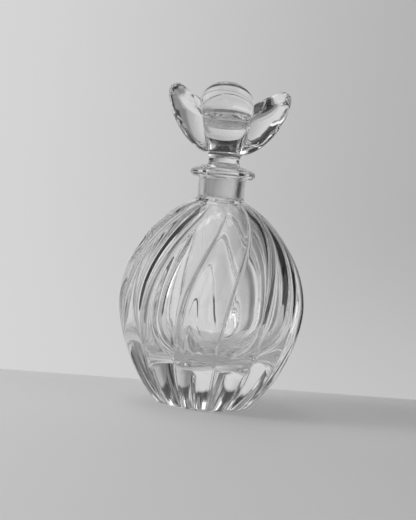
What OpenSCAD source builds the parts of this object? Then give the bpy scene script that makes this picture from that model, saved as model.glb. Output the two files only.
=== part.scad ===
// A heavy crystal perfume flacon: a twisted, fluted bottle and a ground-glass flower stopper.
// Millimetres, +Z up. The origin is the middle of the flat foot, and the front faces -Y.

/* [Bottle body] */
// Radius over the crests of the flutes at the widest ring
belly_r = 42; // [38:0.5:48]
// Height of the widest ring above the foot
belly_z = 46; // [44.5:0.5:50]
// Depth from the widest ring to where the lower curve would close
lower_reach = 56.5; // [54:0.5:62]
// Fullness of the lower curve, where 2 is an ellipse
lower_power = 1.73; // [1.6:0.01:2]
// Height from the widest ring to where the shoulder curve closes, inside the neck
shoulder_reach = 47.7; // [46:0.1:49]
// Fullness of the shoulder, where 2 is an ellipse
shoulder_power = 1.85; // [1.7:0.01:2]
// Rounding of the ground edge of the foot
foot_edge = 1.2; // [0.6:0.1:2]

/* [Flutes] */
// Number of flutes round the body
flutes = 12; // [10:2:16]
// Groove depth as a share of the radius
flute_depth = 0.08; // [0.03:0.01:0.1]
// Turn of the grooves from the foot to the neck, in degrees
flute_turn = 42; // [0:1:60]
// How late the turn comes, where 1 is an even twist
turn_power = 3; // [1:0.5:4]
// Turn of the first groove from the front at the foot, in degrees
flute_start = 6; // [0:0.5:30]

/* [Neck and lip] */
// Outer radius of the neck
neck_r = 10.5; // [9.6:0.1:11]
// Height of the lip's mouth above the foot
mouth_z = 108; // [106:0.5:109.5]
// Outer radius of the lip
lip_r = 14.6; // [13:0.1:16]
// Thickness of the lip's rounded edge
lip_edge = 4.4; // [3:0.1:4.8]
// Rise of the lip's top from its edge to the mouth
lip_rise = 1.3; // [1:0.1:2.4]
// Radius of the fillet where the neck meets the shoulder
neck_fillet = 2.5; // [1.4:0.1:2.6]

/* [Ground joint] */
// Radius of the ground bore at the mouth
bore_r = 7.6; // [7:0.1:7.8]
// Length of the ground bore
bore_h = 15.2; // [14:0.1:16]
// Taper of the joint on the diameter, where 0.1 is one in ten
joint_taper = 0.1; // [0.06:0.01:0.12]
// Space left between the plug and the bore
joint_gap = 0.05; // [0.03:0.01:0.1]
// How far the plug stops short of the bore's lower end
plug_short = 0.9; // [0.5:0.1:2]

/* [Inside of the bottle] */
// Height of the cavity's floor, which is the thickness of the solid base
floor_z = 21; // [16:0.5:26]
// Largest radius of the cavity
cavity_r = 34.5; // [28:0.5:35]
// Height of the cavity's widest ring
cavity_z = 48; // [45:0.5:50]
// Squareness of the cavity's floor corner, where 2 is an ellipse
cavity_power = 2.4; // [2:0.1:3]

/* [Stopper] */
// Height of the clear shank between the mouth and the flower
shank_h = 5.4; // [4:0.1:8]
// Radius of the shank at its waist
waist_r = 7.2; // [6.6:0.1:7.3]
// Radius of the ledge under the flower
ledge_r = 8.2; // [7.8:0.1:8.6]
// Height of the flower from its ledge to the petal tips
flower_h = 30; // [26:0.5:34]
// Radius over the petals
flower_r = 27.6; // [24:0.1:30]
// Radius of the creases between the petals, at the ledge
crease_low_r = 10; // [9:0.1:11]
// Radius of the creases between the petals, at the top
crease_r = 18.5; // [17:0.1:20]
// How far the notches between the petals lie below the tips
notch_drop = 9.2; // [6:0.1:10]
// Thickness of the rounded rim at a petal's tip
rim_t = 7.6; // [6:0.1:8.5]
// Thickness of the rim at a notch
notch_t = 4.5; // [3.5:0.1:5]
// Height of the cup's floor above the ledge
cup_floor = 13; // [11:0.5:15]
// Turn of the stopper in the neck, in degrees
stopper_turn = -3.5; // [-45:0.5:45]

/* [Hidden] */
round_fn = 96;                            // facets of a full turn in the preview
front = -90;                              // direction of -Y as an angle
petals = 4;
bore_end_z = mouth_z - bore_h;            // lower end of the ground bore
bore_end_r = bore_r - joint_taper / 2 * bore_h;
ledge_z = mouth_z + shank_h;              // underside of the flower
plug_low_z = bore_end_z + plug_short;     // lower end of the plug
plug_low_r = bore_end_r + joint_taper / 2 * plug_short - joint_gap;
plug_top_r = bore_r - joint_gap;          // radius of the plug at the mouth
tip_z = ledge_z + flower_h;
body_rings = 36;
body_top_z = belly_z + 0.99 * shoulder_reach; // the body closes inside the neck
points_per_flute = 6;
fade_h = 9;                               // height over which the grooves run out below the neck
points_per_petal = 12;
outer_rows = 14;
rim_rows = 6;
cup_rows = 9;
overlap = 1;                              // how far one shape runs into the next before they join

// Quarter of a rounded square, from 1 at t = 0 down to 0 at t = 1
function fullness(t, power) = pow(max(0, 1 - pow(min(1, max(0, t)), power)), 1 / power);

// Distance from the axis of the centres of the arcs that make a rosette of lobes
function arc_centre(crest, groove, half) =
    (crest * crest - groove * groove) / (2 * (crest - groove * cos(half)));

// Radius of a rosette at q degrees from a lobe's middle: each lobe is an arc that meets the next in a groove
function rosette_r(crest, groove, half, q) =
    let (centre = arc_centre(crest, groove, half))
    centre * cos(q) + sqrt(max(0, pow(crest - centre, 2) - pow(centre * sin(q), 2)));

// ---------- bottle ----------

function foot_cut(z) = z < foot_edge ? foot_edge - sqrt(pow(foot_edge, 2) - pow(foot_edge - z, 2)) : 0;

// Radius over the crests at height z
function crest_r(z) =
    z < belly_z
    ? belly_r * fullness((belly_z - z) / lower_reach, lower_power) - foot_cut(z)
    : belly_r * fullness((z - belly_z) / shoulder_reach, shoulder_power);

// Height at which the shoulder's crests have radius r
function shoulder_z(r) = belly_z + shoulder_reach * fullness(r / belly_r, shoulder_power);

// Share of the full groove depth at height z: all of it on the body, none inside the neck
function groove_share(z) = min(1, max(0, (body_top_z - z) / fade_h));

function groove_turn(z) = flute_start + flute_turn * pow(z / body_top_z, turn_power);

function body_ring(z) =
    let (half = 180 / flutes, crest = crest_r(z), groove = crest * (1 - flute_depth * groove_share(z)))
    [for (flute = [0 : flutes - 1], step = [0 : points_per_flute - 1])
        let (q = half * (2 * step / points_per_flute - 1),
             r = rosette_r(crest, groove, half, q),
             turn = front + groove_turn(z) + half * (2 * flute + 1) + q)
        [r * cos(turn), r * sin(turn), z]];

// Two triangles for every cell of a grid of rings
function ring_faces(rings, count) =
    [for (ring = [0 : rings - 2], i = [0 : count - 1], side = [0, 1])
        let (here = ring * count, next = (i + 1) % count)
        side == 0
        ? [here + i, here + next, here + count + i]
        : [here + next, here + count + next, here + count + i]];

module fluted_body() {
    count = flutes * points_per_flute;
    rings = [for (i = [0 : body_rings]) body_top_z * (1 - cos(180 * i / body_rings)) / 2];
    points = [for (z = rings) each body_ring(z)];
    foot = [for (i = [0 : count - 1]) i];
    top = [for (i = [count - 1 : -1 : 0]) body_rings * count + i];
    polyhedron(points, concat([foot], flip(ring_faces(body_rings + 1, count)), [top]));
}

// The same faces seen from the other side
function flip(faces) = [for (f = faces) [f[0], f[2], f[1]]];

// Outline of the neck and lip, from the fillet that runs into the shoulder up to the mouth
module neck_and_lip() {
    fillet_sink = 0.2;
    fillet_low = shoulder_z(neck_r + neck_fillet) - fillet_sink;
    edge_r = lip_edge / 2;
    edge_z = mouth_z - lip_rise - edge_r;
    fillet = [for (a = [180 : -15 : 90]) // from level at the shoulder to upright on the neck
        [neck_r + neck_fillet * (1 - sin(a)), fillet_low + neck_fillet * (1 + cos(a))]];
    edge = [for (a = [-90 : 15 : 90]) [lip_r - edge_r + edge_r * cos(a), edge_z + edge_r * sin(a)]];
    underside = [[neck_r, edge_z - edge_r - 0.8], [neck_r + 0.8, edge_z - edge_r]];
    low = fillet_low - overlap;
    rotate_extrude($fn = round_fn)
        polygon(concat([[0, low], [neck_r + neck_fillet, low]], fillet, underside, edge,
                       [[bore_r + 0.8, mouth_z], [0, mouth_z]]));
}

// Outline of the cavity: a rounded floor, the widest ring, and a shoulder that draws in to the bore
module cavity() {
    steps = 14;
    lower = [for (i = [0 : steps])
        let (a = 90 * i / steps, power = 2 / cavity_power)
        [cavity_r * pow(sin(a), power), cavity_z - (cavity_z - floor_z) * pow(cos(a), power)]];
    reach = bore_end_z - 2 - cavity_z;
    upper = [for (i = [1 : steps])
        let (z = cavity_z + reach * sin(90 * i / steps),
             dome = cavity_r * fullness((z - cavity_z) / (reach + 0.6), shoulder_power))
        [pow(pow(dome, 4) + pow(bore_end_r, 4), 1 / 4), z]];
    rotate_extrude($fn = round_fn)
        polygon(concat(lower, upper, [[bore_end_r, bore_end_z], [bore_end_r, bore_end_z + overlap],
                                      [0, bore_end_z + overlap]]));
}

module ground_bore() {
    chamfer = 0.5;
    translate([0, 0, bore_end_z])
        cylinder(h = bore_h, r1 = bore_end_r, r2 = bore_r, $fn = round_fn);
    translate([0, 0, mouth_z - chamfer])
        cylinder(h = chamfer + overlap, r1 = bore_r - chamfer * joint_taper / 2,
                 r2 = bore_r + chamfer + overlap, $fn = round_fn);
}

module bottle() {
    color([0.86, 0.89, 0.9, 0.5])
        difference() {
            union() {
                fluted_body();
                neck_and_lip();
            }
            cavity();
            ground_bore();
        }
}

// ---------- stopper ----------

// Height of the rim's top at q degrees from a petal's middle
function rim_z(q) = tip_z - notch_drop * (1 - cos(90 * q / (180 / petals)));

function rim_width(q) = notch_t + (rim_t - notch_t) * cos(90 * q / (180 / petals));

// Outer radius of the flower at height z, q degrees from a petal's middle
function flower_outer(z, q) =
    let (rise = (z - ledge_z) / (flower_h - rim_t / 2),
         base = ledge_r + 0.4,
         crest = base + (flower_r - base) * pow(1 - pow(max(0, 1 - rise), 1.7), 1 / 1.5),
         groove = crease_low_r + (crease_r - crease_low_r) * rise)
    rosette_r(crest, min(groove, crest), 180 / petals, q);

// One point of the flower: rows go up the outside, over the rim and down the cup
function flower_point(row, q) =
    let (edge_z = rim_z(q) - rim_width(q) / 2, edge_r = flower_outer(edge_z, q), width = rim_width(q))
    row <= outer_rows
    ? let (z = ledge_z + (edge_z - ledge_z) * (1 - cos(90 * row / outer_rows))) [flower_outer(z, q), z]
    : row <= outer_rows + rim_rows
    ? let (a = 180 * (row - outer_rows) / rim_rows)
        [edge_r - width / 2 * (1 - cos(a)), edge_z + width / 2 * sin(a)]
    : let (a = 90 * (1 - (row - outer_rows - rim_rows) / (cup_rows + 1)))
        [(edge_r - width) * sin(a), ledge_z + cup_floor + (edge_z - ledge_z - cup_floor) * (1 - cos(a))];

module flower() {
    half = 180 / petals;
    rows = outer_rows + rim_rows + cup_rows;
    count = petals * points_per_petal;
    points = [for (row = [0 : rows], petal = [0 : petals - 1], step = [0 : points_per_petal - 1])
        let (q = half * (2 * step / points_per_petal - 1),
             turn = front + 2 * half * petal + q,
             p = flower_point(row, q))
        [p[0] * cos(turn), p[0] * sin(turn), p[1]]];
    last = rows * count;
    centre = [0, 0, ledge_z + cup_floor];
    base = [for (i = [0 : count - 1]) i];
    cup = [for (i = [0 : count - 1]) [last + i, last + count, last + (i + 1) % count]];
    polyhedron(concat(points, [centre]), concat([base], flip(ring_faces(rows + 1, count)), cup));
}

// The clear shank: a shallow waist between the plug and the ledge
module shank() {
    waist_z = mouth_z + shank_h * 0.55;
    rotate_extrude($fn = round_fn)
        polygon([[0, mouth_z - overlap], [plug_top_r - 0.1, mouth_z - overlap], [plug_top_r, mouth_z],
                 [plug_top_r - 0.15, mouth_z + 0.8], [waist_r + 0.1, waist_z - 1], [waist_r, waist_z],
                 [waist_r + 0.2, ledge_z - 1.2], [ledge_r - 0.4, ledge_z - 0.4], [ledge_r, ledge_z],
                 [ledge_r, ledge_z + overlap], [0, ledge_z + overlap]]);
}

module plug() {
    translate([0, 0, plug_low_z])
        cylinder(h = mouth_z - plug_low_z, r1 = plug_low_r, r2 = plug_top_r, $fn = round_fn);
}

module stopper() {
    color([0.9, 0.92, 0.93, 0.5])
        rotate([0, 0, stopper_turn])
            union() {
                plug();
                shank();
                flower();
            }
}

bottle();
stopper();
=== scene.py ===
"""A clear crystal perfume flacon with a flower stopper, finished round its CAD frame."""

import math

import bpy
import numpy as np
from mathutils import Matrix, Vector


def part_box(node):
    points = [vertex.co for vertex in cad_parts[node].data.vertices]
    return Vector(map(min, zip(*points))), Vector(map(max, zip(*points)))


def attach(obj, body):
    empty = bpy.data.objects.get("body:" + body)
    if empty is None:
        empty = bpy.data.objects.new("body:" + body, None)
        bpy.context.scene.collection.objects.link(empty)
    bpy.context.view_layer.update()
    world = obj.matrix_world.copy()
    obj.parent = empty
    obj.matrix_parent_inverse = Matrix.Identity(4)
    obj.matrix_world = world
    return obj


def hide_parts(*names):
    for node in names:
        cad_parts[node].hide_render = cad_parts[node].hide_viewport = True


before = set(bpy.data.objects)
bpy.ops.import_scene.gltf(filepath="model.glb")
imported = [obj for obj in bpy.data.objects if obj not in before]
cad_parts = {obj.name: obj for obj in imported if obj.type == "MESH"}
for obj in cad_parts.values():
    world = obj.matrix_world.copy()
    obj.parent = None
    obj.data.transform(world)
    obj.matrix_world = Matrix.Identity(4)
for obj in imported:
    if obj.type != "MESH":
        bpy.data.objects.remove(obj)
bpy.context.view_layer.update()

bottle_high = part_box("bottle")[1]
stopper_low, stopper_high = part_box("stopper")

# ---------- sizes, in metres ----------

MM = bottle_high.z / 108  # one millimetre of the bottle, taken from its height in the frame
TURN = 2 * math.pi
FRONT = -TURN / 4  # the angle of -Y

BELLY_R = 41.95 * MM
BELLY_Z = 46 * MM
LOWER_REACH = 56.5 * MM
LOWER_POWER = 1.73
SHOULDER_REACH = 47.7 * MM
SHOULDER_POWER = 1.85
FOOT_EDGE = 1.2 * MM
FLUTES = 12
FLUTE_DEPTH = 0.08
FLUTE_TURN = math.radians(42)
FLUTE_START = math.radians(6)
TURN_POWER = 3
FLUTE_TOP_Z = BELLY_Z + 0.99 * SHOULDER_REACH
FLUTE_FADE = 9 * MM
GROOVE_SOFTNESS = 0.045  # rounding of the grooves, as a share of a flute's half width

NECK_R = 10.5 * MM
NECK_BLEND = 3.4  # lower is a softer curve where the neck meets the shoulder
NECK_FADE = 30 * MM  # height above the widest ring over which the neck joins in
MOUTH_Z = bottle_high.z
LIP_R = 14.6 * MM
LIP_EDGE_R = 2.2 * MM
LIP_RISE = 1.3 * MM
LIP_LOW_Z = MOUTH_Z - LIP_RISE - 2 * LIP_EDGE_R
UNDER_LIP_R = 0.8 * MM  # rounding where the neck meets the underside of the lip
MOUTH_ROUND = 0.5 * MM
MOUTH_FLAT = 1.5 * MM  # width of the nearly flat ring round the mouth
MOUTH_FALL = 0.2 * MM  # fall of that ring towards the lip's edge

BORE_R = 7.6 * MM
BORE_H = 15.2 * MM
TAPER = 0.05  # loss of radius for each unit of depth in the ground joint
BORE_END_Z = MOUTH_Z - BORE_H
BORE_END_R = BORE_R - TAPER * BORE_H
JOINT_GAP = 0.05 * MM
GROUND_TOP_Z = LIP_LOW_Z  # the ground band ends level with the underside of the lip

FLOOR_Z = 21 * MM
CAVITY_R = 34.5 * MM
CAVITY_Z = 48 * MM
CAVITY_POWER = 2.4
CAVITY_GAP = 2 * MM  # between the cavity's dome and the bore's lower end
CAVITY_CLOSE = 0.6 * MM  # how far above the dome's last ring its curve would close
CAVITY_BLEND = 4  # lower is a softer curve where the cavity draws in to the bore
INNER_DEPTH = 0.10  # depth of the soft flutes inside, as a share of the radius
INNER_SOFTNESS = 0.2  # rounding of the inner grooves, as a share of a flute's half width
INNER_LEAD = math.radians(4.2)  # how far the inner flutes are turned ahead of the outer ones

SHANK_H = 5.4 * MM
WAIST_R = 7.2 * MM
WAIST_DIP = 0.2 * MM  # how far the waist is drawn in past its radius
WAIST_Z = MOUTH_Z + 0.55 * SHANK_H
LEDGE_R = 8.2 * MM
LEDGE_Z = MOUTH_Z + SHANK_H
PLUG_CHAMFER = 0.3 * MM
PLUG_LOW_Z = stopper_low.z
PLUG_TOP_R = BORE_R - JOINT_GAP
PETALS = 4
TIP_Z = stopper_high.z
FLOWER_H = TIP_Z - LEDGE_Z
FLOWER_R = 27.6 * MM
FLOWER_BASE_R = LEDGE_R + 0.4 * MM
FLARE_POWER = 1.7  # lower opens the flower sooner
FLARE_ROOT = 1.5
CREASE_LOW_R = 10 * MM
CREASE_R = 18.5 * MM
NOTCH_DROP = 9.2 * MM
RIM_T = 7.6 * MM
NOTCH_T = 4.5 * MM
CUP_FLOOR = 13 * MM
STOPPER_TURN = math.radians(-3.5)
CREASE_SOFTNESS = 0.03  # rounding of the creases, as a share of a petal's half width

# Rows and columns of the meshes
COLUMNS_PER_FLUTE = 24
BODY_ROWS = 138
FOOT_ROWS = 12
BORE_ROWS = 24
DOME_ROWS = 60
BOWL_ROWS = 70
COLUMNS_PER_PETAL = 72
SHANK_ROWS = 24
PETAL_ROWS = 60
RIM_ROWS = 26
CUP_ROWS = 50

# ---------- finish of the crystal ----------

REFRACTION = 1.545
GROUND_ROUGHNESS = 0.3
ROUGHNESS_SPREAD = 0.1  # how far the grain changes the ground roughness, either way
GRAIN_SCALE = 2500  # grains of the ground surface to a metre
GRAIN_DEPTH = 0.02 * MM
WAVE_SCALE = 60  # waves of the fire-polished surface to a metre
WAVE_DEPTH = 0.12 * MM

# ---------- table and room ----------

TABLE_BACK_Y = 69 * MM
TABLE_SLANT = 0.14
TABLE_DEPTH = 1.5
TABLE_WIDTH = 3.0
TABLE_GAP = 0.05 * MM

# Light of the wall: on the left, on the right below eye level, and on the right above it
WALL_LEFT = 0.68
WALL_LOW_RIGHT = 0.54
WALL_RIGHT = 0.43

# Patches of the room: level, then middle azimuth, width, lowest and highest elevation, and the softness
# of the sides and of the ends, in degrees. A later patch covers the ones before it.
ROOM = [
    (0.5, (-90, 180, 60, 95, 1, 3)),
    (0.08, (90, 180, 60, 95, 1, 3)),
    (0.04, (0, 380, 34, 60, 1, 2)),
    (2.0, (-45, 90, 60, 95, 3, 3)),
    (0.08, (0, 120, -95, -36, 4, 3)),
    (0.22, (28, 24, -95, 34, 4, 2)),
    (0.01, (62, 56, -95, 38, 2, 2)),
    (0.8, (112, 46, -40, 38, 2, 2)),
    (0.02, (180, 90, -40, 60, 2, 2)),
    (1.3, (-105, 60, 0, 38, 2, 2)),
    (0.03, (-60, 30, -14, 36, 2, 2)),
]


# ---------- camera ----------

CAMERA_PLACE = (-2.99 * MM, -585 * MM, 87.5 * MM)
CAMERA_LENS = 90
CAMERA_PITCH = math.radians(90 - 2.18)
CAMERA_ROLL = math.radians(5.35)


# ---------- shapes ----------

def fullness(t, power):
    """Quarter of a rounded square: (1 - t^power)^(1/power), from 1 at t = 0 down to 0 at t = 1."""
    return np.clip(1 - np.clip(t, 0, 1) ** power, 0, None) ** (1 / power)


def smoothstep(t):
    """3t^2 - 2t^3, held at 0 below t = 0 and at 1 above t = 1."""
    t = np.clip(t, 0, 1)
    return t * t * (3 - 2 * t)


def rosette(crest, groove, half, q, softness):
    """Radius of a ring of lobes at the angle q from a lobe's middle.

    Each lobe is an arc through the groove points at plus and minus half. Its centre is at
    c = (crest^2 - groove^2) / (2 (crest - groove cos half)), so the radius is
    c cos q + sqrt((crest - c)^2 - (c sin q)^2). The distance to the groove, half - |q|, is eased to
    sqrt(distance^2 + softness^2) so that the groove has a round bottom.
    """
    centre = (crest ** 2 - groove ** 2) / (2 * (crest - groove * np.cos(half)))
    ease = softness * half
    gap = (np.sqrt((half - np.abs(q)) ** 2 + ease ** 2) - ease) * half / (np.hypot(half, ease) - ease)
    eased = half - gap
    inside = (crest - centre) ** 2 - (centre * np.sin(eased)) ** 2
    return centre * np.cos(eased) + np.sqrt(np.clip(inside, 0, None))


def lobe_angles(lobes, per_lobe):
    """Angles once round a ring, and each one's angle q from the middle of its lobe."""
    step = TURN / (lobes * per_lobe)
    around = np.arange(lobes * per_lobe) * step
    q = around % (TURN / lobes) - TURN / lobes / 2
    return around, q


def arc(centre_r, centre_z, radius, start, end, steps):
    """Points of an outline on a circle: (r, z) = centre + radius (cos a, sin a), a in degrees."""
    a = np.radians(np.linspace(start, end, steps))
    return np.stack([centre_r + radius * np.cos(a), centre_z + radius * np.sin(a)], 1)


def line(start, end, steps):
    """Evenly spaced points of an outline from start to end, both (r, z)."""
    t = np.linspace(0, 1, steps)[:, None]
    return (1 - t) * np.array(start) + t * np.array(end)


def lathe_rows(outline, columns):
    """A round (r, z) outline as rows of radii and heights, the same in every column."""
    outline = np.asarray(outline)
    return [np.repeat(outline[:, k:k + 1], columns, 1) for k in (0, 1)]


def closed_skin(name, radius, height, angle, low_z, high_z, ground):
    """A closed mesh from a grid: row i, column j lies at (radius cos angle, radius sin angle, height).

    Columns wrap round. The first and last rows close on a single point each, on the axis at low_z and
    high_z. ground is 1 on the rows with a ground surface, and is kept as an attribute.
    """
    rows, columns = radius.shape
    grid = np.stack([radius * np.cos(angle), radius * np.sin(angle), height], 2).reshape(-1, 3)
    points = np.concatenate([grid, [[0, 0, low_z], [0, 0, high_z]]])
    first, last = rows * columns, rows * columns + 1
    j = np.arange(columns)
    after = (j + 1) % columns
    base = (np.arange(rows - 1) * columns)[:, None]
    quads = np.stack([base + j, base + after, base + columns + after, base + columns + j], 2).reshape(-1, 4)
    low_fan = np.stack([after, j, np.full(columns, first)], 1)
    top = (rows - 1) * columns
    high_fan = np.stack([top + j, top + after, np.full(columns, last)], 1)

    mesh = bpy.data.meshes.new(name)
    mesh.vertices.add(len(points))
    mesh.vertices.foreach_set("co", points.astype(np.float32).ravel())
    corners = np.concatenate([quads.ravel(), low_fan.ravel(), high_fan.ravel()])
    sizes = np.concatenate([np.full(len(quads), 4), np.full(2 * columns, 3)])
    mesh.loops.add(len(corners))
    mesh.loops.foreach_set("vertex_index", corners.astype(np.int32))
    mesh.polygons.add(len(sizes))
    mesh.polygons.foreach_set("loop_start", (np.cumsum(sizes) - sizes).astype(np.int32))
    mesh.polygons.foreach_set("use_smooth", np.ones(len(sizes), bool))
    mesh.update(calc_edges=True)
    mesh.validate()
    mask = np.concatenate([np.repeat(ground, columns), [ground[0], ground[-1]]])
    mesh.attributes.new("ground", "FLOAT", "POINT").data.foreach_set("value", mask.astype(np.float32))
    piece = bpy.data.objects.new(name, mesh)
    bpy.context.scene.collection.objects.link(piece)
    return piece


# ---------- bottle ----------

def body_radius(z, q):
    """Outer radius of the fluted body and neck at height z, q from a flute's middle.

    The crests follow a rounded square below and above the widest ring. The neck is joined to the
    shoulder by (dome^n + neck^n)^(1/n), and the grooves run out as they reach it.
    """
    dome = np.where(
        z < BELLY_Z,
        BELLY_R * fullness((BELLY_Z - z) / LOWER_REACH, LOWER_POWER),
        BELLY_R * fullness((z - BELLY_Z) / SHOULDER_REACH, SHOULDER_POWER),
    )
    edge = np.clip(FOOT_EDGE - z, 0, FOOT_EDGE)
    dome = dome - (FOOT_EDGE - np.sqrt(FOOT_EDGE ** 2 - edge ** 2))
    share = smoothstep((FLUTE_TOP_Z - z) / FLUTE_FADE)
    dome = np.maximum(dome, MM)
    fluted = rosette(dome, dome * (1 - FLUTE_DEPTH * share), TURN / FLUTES / 2, q, GROOVE_SOFTNESS)
    neck = NECK_R * smoothstep((z - BELLY_Z) / NECK_FADE)
    return (fluted ** NECK_BLEND + neck ** NECK_BLEND) ** (1 / NECK_BLEND)


def flute_turn(z):
    """Turn of the grooves at height z: it grows with the cube of the height."""
    return FLUTE_START + FLUTE_TURN * np.clip(z / FLUTE_TOP_Z, 0, 1) ** TURN_POWER


def cavity_outline():
    """Outline of the inside, from the bore's lower end down to the floor's middle.

    The dome is a rounded square joined to the bore by (dome^n + bore^n)^(1/n). The bowl below the widest
    ring is r = R sin(a)^(2/p), z = Z - depth cos(a)^(2/p), as a goes from a quarter turn to 0.
    """
    t = np.linspace(0, 1, DOME_ROWS)[1:]
    reach = BORE_END_Z - CAVITY_GAP - CAVITY_Z
    z = CAVITY_Z + reach * np.cos(TURN / 4 * t)
    dome = CAVITY_R * fullness((z - CAVITY_Z) / (reach + CAVITY_CLOSE), SHOULDER_POWER)
    upper_r = (dome ** CAVITY_BLEND + BORE_END_R ** CAVITY_BLEND) ** (1 / CAVITY_BLEND)
    upper = np.stack([upper_r, z], 1)
    a = TURN / 4 * np.linspace(1, 0, BOWL_ROWS)[1:-1]
    lower = np.stack([CAVITY_R * np.sin(a) ** (2 / CAVITY_POWER),
                      CAVITY_Z - (CAVITY_Z - FLOOR_Z) * np.cos(a) ** (2 / CAVITY_POWER)], 1)
    return np.concatenate([upper, lower])


def make_bottle():
    """The whole bottle as one skin: foot, flutes, neck, lip, bore and cavity."""
    around, q = lobe_angles(FLUTES, COLUMNS_PER_FLUTE)
    columns = len(around)
    neck_top = LIP_LOW_Z - UNDER_LIP_R
    t = np.linspace(0, 1, BODY_ROWS)
    heights = neck_top * (1 - np.cos(TURN / 2 * t)) / 2
    body_z = np.repeat(heights[:, None], columns, 1)
    body_r = body_radius(body_z, q[None, :])
    foot = np.linspace(0, 1, FOOT_ROWS + 2)[1:-1, None]
    foot_r = foot * body_r[:1]
    foot_z = np.zeros_like(foot_r)
    edge_z = LIP_LOW_Z + LIP_EDGE_R
    mouth_edge = (BORE_R + MOUTH_ROUND + MOUTH_FLAT, MOUTH_Z - MOUTH_FALL)
    lip = np.concatenate([
        arc(NECK_R + UNDER_LIP_R, neck_top, UNDER_LIP_R, 180, 90, 6)[1:],
        line((NECK_R + UNDER_LIP_R, LIP_LOW_Z), (LIP_R - LIP_EDGE_R, LIP_LOW_Z), 6)[1:],
        arc(LIP_R - LIP_EDGE_R, edge_z, LIP_EDGE_R, -90, 75, 18)[1:],
        line((LIP_R - LIP_EDGE_R, edge_z + LIP_EDGE_R), mouth_edge, 8)[1:],
        arc(BORE_R + MOUTH_ROUND, MOUTH_Z - MOUTH_ROUND, MOUTH_ROUND, 90, 180, 8),
    ])
    bore_top = (BORE_R - TAPER * MOUTH_ROUND, MOUTH_Z - MOUTH_ROUND)
    bore = line(bore_top, (BORE_END_R, BORE_END_Z), BORE_ROWS)[1:]
    top_r, top_z = lathe_rows(np.concatenate([lip, bore]), columns)
    cavity_r, cavity_z = lathe_rows(cavity_outline(), columns)
    share = smoothstep((cavity_r - BORE_END_R) / (CAVITY_R - BORE_END_R)) ** 0.5
    cavity_r = rosette(cavity_r, cavity_r * (1 - INNER_DEPTH * share), TURN / FLUTES / 2, q, INNER_SOFTNESS)
    radius = np.concatenate([foot_r, body_r, top_r, cavity_r])
    height = np.concatenate([foot_z, body_z, top_z, cavity_z])
    ground = np.zeros(len(radius))
    first_bore = len(foot_r) + len(body_r) + len(lip)
    ground[first_bore:first_bore + len(bore)] = bore[:, 1] < GROUND_TOP_Z
    turned = flute_turn(height[:, :1])
    turned[-len(cavity_r):] += INNER_LEAD
    angle = FRONT + around[None, :] + turned
    return closed_skin("bottle_skin", radius, height, angle, 0, FLOOR_Z, ground)


# ---------- stopper ----------

def flower_outer(z, q):
    """Outer radius of the flower at height z, q from a petal's middle: four arcs that meet in creases.

    With rise as the share of the height, the crests flare as base + reach (1 - (1 - rise)^n)^(1/m), and
    the creases run straight outwards.
    """
    rise = (z - LEDGE_Z) / (FLOWER_H - RIM_T / 2)
    flare = (1 - np.clip(1 - rise, 0, None) ** FLARE_POWER) ** (1 / FLARE_ROOT)
    crest = FLOWER_BASE_R + (FLOWER_R - FLOWER_BASE_R) * flare
    crease = CREASE_LOW_R + (CREASE_R - CREASE_LOW_R) * rise
    crease = np.minimum(crease, crest * (1 - 1e-4))
    return rosette(crest, crease, TURN / PETALS / 2, q, CREASE_SOFTNESS)


def make_stopper():
    """The whole stopper as one skin: ground plug, shank, ledge, petals, rim and cup.

    The shank is the parabola (1 - t)^2 a + 2 t (1 - t) k + t^2 c through the waist b, with
    k = 2b - (a + c) / 2. The rim is half a circle across the petal's thickness, which dips and thins
    towards the notches as cos q does. The cup is a quarter of an ellipse down to its floor.
    """
    around, q = lobe_angles(PETALS, COLUMNS_PER_PETAL)
    columns = len(around)
    fade = np.cos(TURN / 4 * q / (TURN / PETALS / 2))
    rim_z = TIP_Z - NOTCH_DROP * (1 - fade)
    rim_width = NOTCH_T + (RIM_T - NOTCH_T) * fade
    edge_z = rim_z - rim_width / 2
    edge_r = flower_outer(edge_z, q)

    plug_low_r = BORE_END_R + TAPER * (PLUG_LOW_Z - BORE_END_Z) - JOINT_GAP
    plug = np.concatenate([
        line((0, PLUG_LOW_Z), (plug_low_r - PLUG_CHAMFER, PLUG_LOW_Z), 8)[1:],
        line((plug_low_r, PLUG_LOW_Z + PLUG_CHAMFER), (PLUG_TOP_R, MOUTH_Z), BORE_ROWS),
    ])
    waist_points = [(PLUG_TOP_R, MOUTH_Z), (WAIST_R - WAIST_DIP, WAIST_Z), (LEDGE_R, LEDGE_Z)]
    a, b, c = [np.array(p) for p in waist_points]
    t = np.linspace(0, 1, SHANK_ROWS)[1:, None]
    shank = (1 - t) ** 2 * a + 2 * t * (1 - t) * (2 * b - (a + c) / 2) + t ** 2 * c
    stem = np.concatenate([plug, shank])
    stem_r, stem_z = lathe_rows(stem, columns)

    rise = 1 - np.cos(TURN / 4 * np.linspace(0, 1, PETAL_ROWS))[:, None]
    outer_z = LEDGE_Z + (edge_z - LEDGE_Z) * rise
    outer_r = flower_outer(outer_z, q)
    turn = TURN / 2 * np.linspace(0, 1, RIM_ROWS)[1:, None]
    rim_r = edge_r - rim_width / 2 * (1 - np.cos(turn))
    rim_heights = edge_z + rim_width / 2 * np.sin(turn)
    fall = TURN / 4 * np.linspace(1, 0, CUP_ROWS)[1:-1, None]
    floor = LEDGE_Z + CUP_FLOOR
    cup_r = (edge_r - rim_width) * np.sin(fall)
    cup_z = floor + (edge_z - floor) * (1 - np.cos(fall))

    radius = np.concatenate([stem_r, outer_r, rim_r, cup_r])
    height = np.concatenate([stem_z, outer_z, rim_heights, cup_z])
    ground = np.zeros(len(radius))
    ground[:len(plug)] = plug[:, 1] < GROUND_TOP_Z
    angle = FRONT + STOPPER_TURN + around[None, :] - TURN / PETALS / 2 + np.zeros((len(radius), 1))
    return closed_skin("stopper_skin", radius, height, angle, PLUG_LOW_Z, floor, ground)


# ---------- materials ----------

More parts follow.
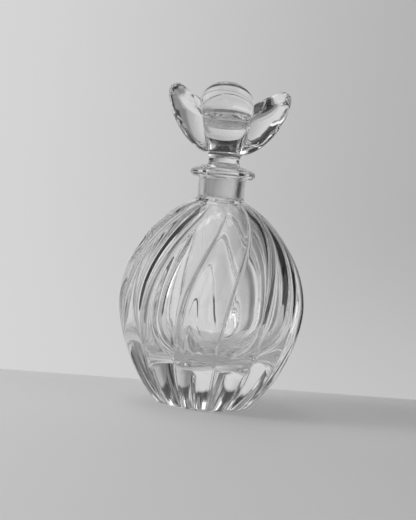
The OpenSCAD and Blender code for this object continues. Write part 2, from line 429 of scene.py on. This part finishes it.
class Sums:
    """Writes arithmetic as Math nodes of one node tree."""

    def __init__(self, tree):
        self.nodes, self.links = tree.nodes, tree.links

    def do(self, operation, *values):
        """One Math node on sockets or numbers."""
        node = self.nodes.new("ShaderNodeMath")
        node.operation = operation
        for socket, value in zip(node.inputs, values):
            if isinstance(value, bpy.types.NodeSocket):
                self.links.new(value, socket)
            else:
                socket.default_value = value
        return node.outputs[0]

    def ramp(self, value, start, end, low=0.0, high=1.0):
        """A smooth step of value, from low at start to high at end."""
        node = self.nodes.new("ShaderNodeMapRange")
        node.interpolation_type = "SMOOTHSTEP"
        for name, number in (("From Min", start), ("From Max", end), ("To Min", low), ("To Max", high)):
            node.inputs[name].default_value = number
        self.links.new(value, node.inputs["Value"])
        return node.outputs[0]

    def between(self, first, second, share):
        """first where share is 0 and second where it is 1: (1 - share) first + share second."""
        rest = self.do("SUBTRACT", 1, share)
        return self.do("ADD", self.do("MULTIPLY", rest, first), self.do("MULTIPLY", share, second))


def crystal(name):
    """Clear lead crystal: softly uneven where it was fire-polished, and frosted and grained where ground."""
    material = bpy.data.materials.new(name)
    material.use_nodes = True
    nodes, links = material.node_tree.nodes, material.node_tree.links
    sums = Sums(material.node_tree)
    glass = nodes["Principled BSDF"]
    glass.inputs["Base Color"].default_value = (1, 1, 1, 1)
    glass.inputs["Transmission Weight"].default_value = 1
    glass.inputs["IOR"].default_value = REFRACTION
    attribute = nodes.new("ShaderNodeAttribute")
    attribute.attribute_name = "ground"
    ground = attribute.outputs["Fac"]
    place = nodes.new("ShaderNodeTexCoord").outputs["Object"]

    def noise(scale, detail):
        """Noise with this many features to a metre."""
        node = nodes.new("ShaderNodeTexNoise")
        node.inputs["Scale"].default_value = scale
        node.inputs["Detail"].default_value = detail
        links.new(place, node.inputs["Vector"])
        return node.outputs["Fac"]

    def bump(height, distance, before=None):
        """Relief of this depth in metres, added to the relief before it."""
        node = nodes.new("ShaderNodeBump")
        node.inputs["Distance"].default_value = distance
        links.new(height, node.inputs["Height"])
        if before:
            links.new(before, node.inputs["Normal"])
        return node.outputs["Normal"]

    grain = noise(GRAIN_SCALE, 3)
    smoother, rougher = GROUND_ROUGHNESS - ROUGHNESS_SPREAD, GROUND_ROUGHNESS + ROUGHNESS_SPREAD
    frost = sums.between(smoother, rougher, grain)
    links.new(sums.do("MULTIPLY", ground, frost), glass.inputs["Roughness"])
    polish = bump(noise(WAVE_SCALE, 1), WAVE_DEPTH)
    links.new(bump(sums.do("MULTIPLY", ground, grain), GRAIN_DEPTH, polish), glass.inputs["Normal"])
    return material


def table_paint_with_painted_light():
    """Matt pale paint with painted light: a little lighter to the left and darker to the right, as the light
    from the left falls off, and a painted glow that stands in for the room's light and lifts the whole
    table, shadows too.
    """
    material = bpy.data.materials.new("table_paint_with_painted_light")
    material.use_nodes = True
    nodes, links = material.node_tree.nodes, material.node_tree.links
    paint = nodes["Principled BSDF"]
    paint.inputs["Roughness"].default_value = 0.7
    place = nodes.new("ShaderNodeSeparateXYZ")
    links.new(nodes.new("ShaderNodeTexCoord").outputs["Object"], place.inputs[0])
    # Painted light: the paint's colour falls from 0.62 on the left to 0.45 on the right, standing in for the
    # window light fading across the table.
    painted_light_ramp = nodes.new("ShaderNodeMapRange")
    for socket, value in (("From Min", -0.12), ("From Max", 0.12), ("To Min", 0.62), ("To Max", 0.45)):
        painted_light_ramp.inputs[socket].default_value = value
    links.new(place.outputs["X"], painted_light_ramp.inputs["Value"])
    links.new(painted_light_ramp.outputs["Result"], paint.inputs["Base Color"])
    links.new(painted_light_ramp.outputs["Result"], paint.inputs["Emission Color"])
    # Painted light: the table glows in its own paint colour, standing in for room light that brightens it
    # and the bottle's shadow.
    paint.inputs["Emission Strength"].default_value = 0.42
    return material


# ---------- stage, light and camera ----------

def make_table():
    """A pale table top whose back edge passes a little behind the bottle."""
    left, right = -TABLE_WIDTH / 2, TABLE_WIDTH / 2
    back = [TABLE_BACK_Y + TABLE_SLANT * x for x in (left, right)]
    corners = [(left, -TABLE_DEPTH), (right, -TABLE_DEPTH), (right, back[1]), (left, back[0])]
    points = [(x, y, -TABLE_GAP) for x, y in corners] + [(x, y, -0.03) for x, y in corners]
    sides = [(i, i + 4, (i + 1) % 4 + 4, (i + 1) % 4) for i in range(4)]
    mesh = bpy.data.meshes.new("table")
    mesh.from_pydata(points, [], [(0, 1, 2, 3), (7, 6, 5, 4)] + sides)
    mesh.materials.append(table_paint_with_painted_light())
    table = bpy.data.objects.new("table", mesh)
    bpy.context.scene.collection.objects.link(table)


def make_world():
    """A pale room as a function of direction: azimuth 0 is straight behind the bottle, 90 is +X.

    The wall darkens smoothly from left to right. The patches show only in the glass and on the table.
    """
    world = bpy.data.worlds.new("studio")
    bpy.context.scene.world = world
    world.use_nodes = True
    nodes, links = world.node_tree.nodes, world.node_tree.links
    sums = Sums(world.node_tree)
    direction = nodes.new("ShaderNodeSeparateXYZ")
    links.new(nodes.new("ShaderNodeTexCoord").outputs["Generated"], direction.inputs[0])
    x, y, z = direction.outputs
    azimuth = sums.do("DEGREES", sums.do("ARCTAN2", x, y))
    elevation = sums.do("DEGREES", sums.do("ARCSINE", z))

    def patch(middle, width, low, high, soft_side, soft_height):
        """1 inside a soft-edged rectangle of directions and 0 outside it, in degrees."""
        away = sums.do("ABSOLUTE", sums.do("WRAP", sums.do("SUBTRACT", azimuth, middle), 180, -180))
        across = sums.ramp(away, width / 2 - soft_side, width / 2 + soft_side, 1, 0)
        above = sums.ramp(elevation, low - soft_height, low + soft_height)
        below = sums.ramp(elevation, high - soft_height, high + soft_height, 1, 0)
        return sums.do("MULTIPLY", across, sums.do("MULTIPLY", above, below))

    right = sums.ramp(elevation, -9, 1, WALL_LOW_RIGHT, WALL_RIGHT)
    wall = sums.between(WALL_LEFT, right, sums.ramp(x, -0.24, 0.24))
    light = wall
    for level, where in ROOM:
        light = sums.between(light, level, patch(*where))
    seen = nodes.new("ShaderNodeLightPath").outputs["Is Camera Ray"]
    both = nodes.new("ShaderNodeMix")
    links.new(seen, both.inputs["Factor"])
    links.new(light, both.inputs["A"])
    links.new(wall, both.inputs["B"])
    links.new(both.outputs["Result"], nodes["Background"].inputs["Color"])


def make_window_light():
    """Soft light from the left for the table alone, so that the bottle's shadow falls to the right."""
    lamp = bpy.data.lights.new("window", "SUN")
    lamp.energy = 0.9
    lamp.angle = math.radians(24)
    window = bpy.data.objects.new("window", lamp)
    bpy.context.scene.collection.objects.link(window)
    azimuth, elevation = math.radians(-105), math.radians(30)
    level = math.cos(elevation)
    towards = Vector((math.sin(azimuth) * level, math.cos(azimuth) * level, math.sin(elevation)))
    window.rotation_euler = towards.to_track_quat("Z", "Y").to_euler()
    window.visible_glossy = False
    window.visible_transmission = False


def make_camera():
    """The camera looks slightly down at the bottle, and is rolled about its own view."""
    camera = bpy.data.objects.new("camera", bpy.data.cameras.new("camera"))
    bpy.context.scene.collection.objects.link(camera)
    camera.data.lens = CAMERA_LENS
    camera.data.clip_start = 0.01
    camera.location = CAMERA_PLACE
    camera.rotation_mode = "XYZ"
    turned = Matrix.Rotation(CAMERA_PITCH, 4, "X") @ Matrix.Rotation(CAMERA_ROLL, 4, "Z")
    camera.rotation_euler = turned.to_euler()
    bpy.context.scene.camera = camera


def clear_picture():
    """Plain display colours, and light paths long enough to leave thick glass again."""
    scene = bpy.context.scene
    scene.view_settings.view_transform = "Standard"
    scene.cycles.max_bounces = 40
    scene.cycles.transmission_bounces = 40
    scene.cycles.glossy_bounces = 24


bottle = make_bottle()
bottle.data.materials.append(crystal("bottle_crystal"))
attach(bottle, "bottle")
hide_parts("bottle")

stopper = make_stopper()
stopper.data.materials.append(crystal("stopper_crystal"))
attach(stopper, "stopper")
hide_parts("stopper")

make_table()
make_world()
make_window_light()
make_camera()
clear_picture()
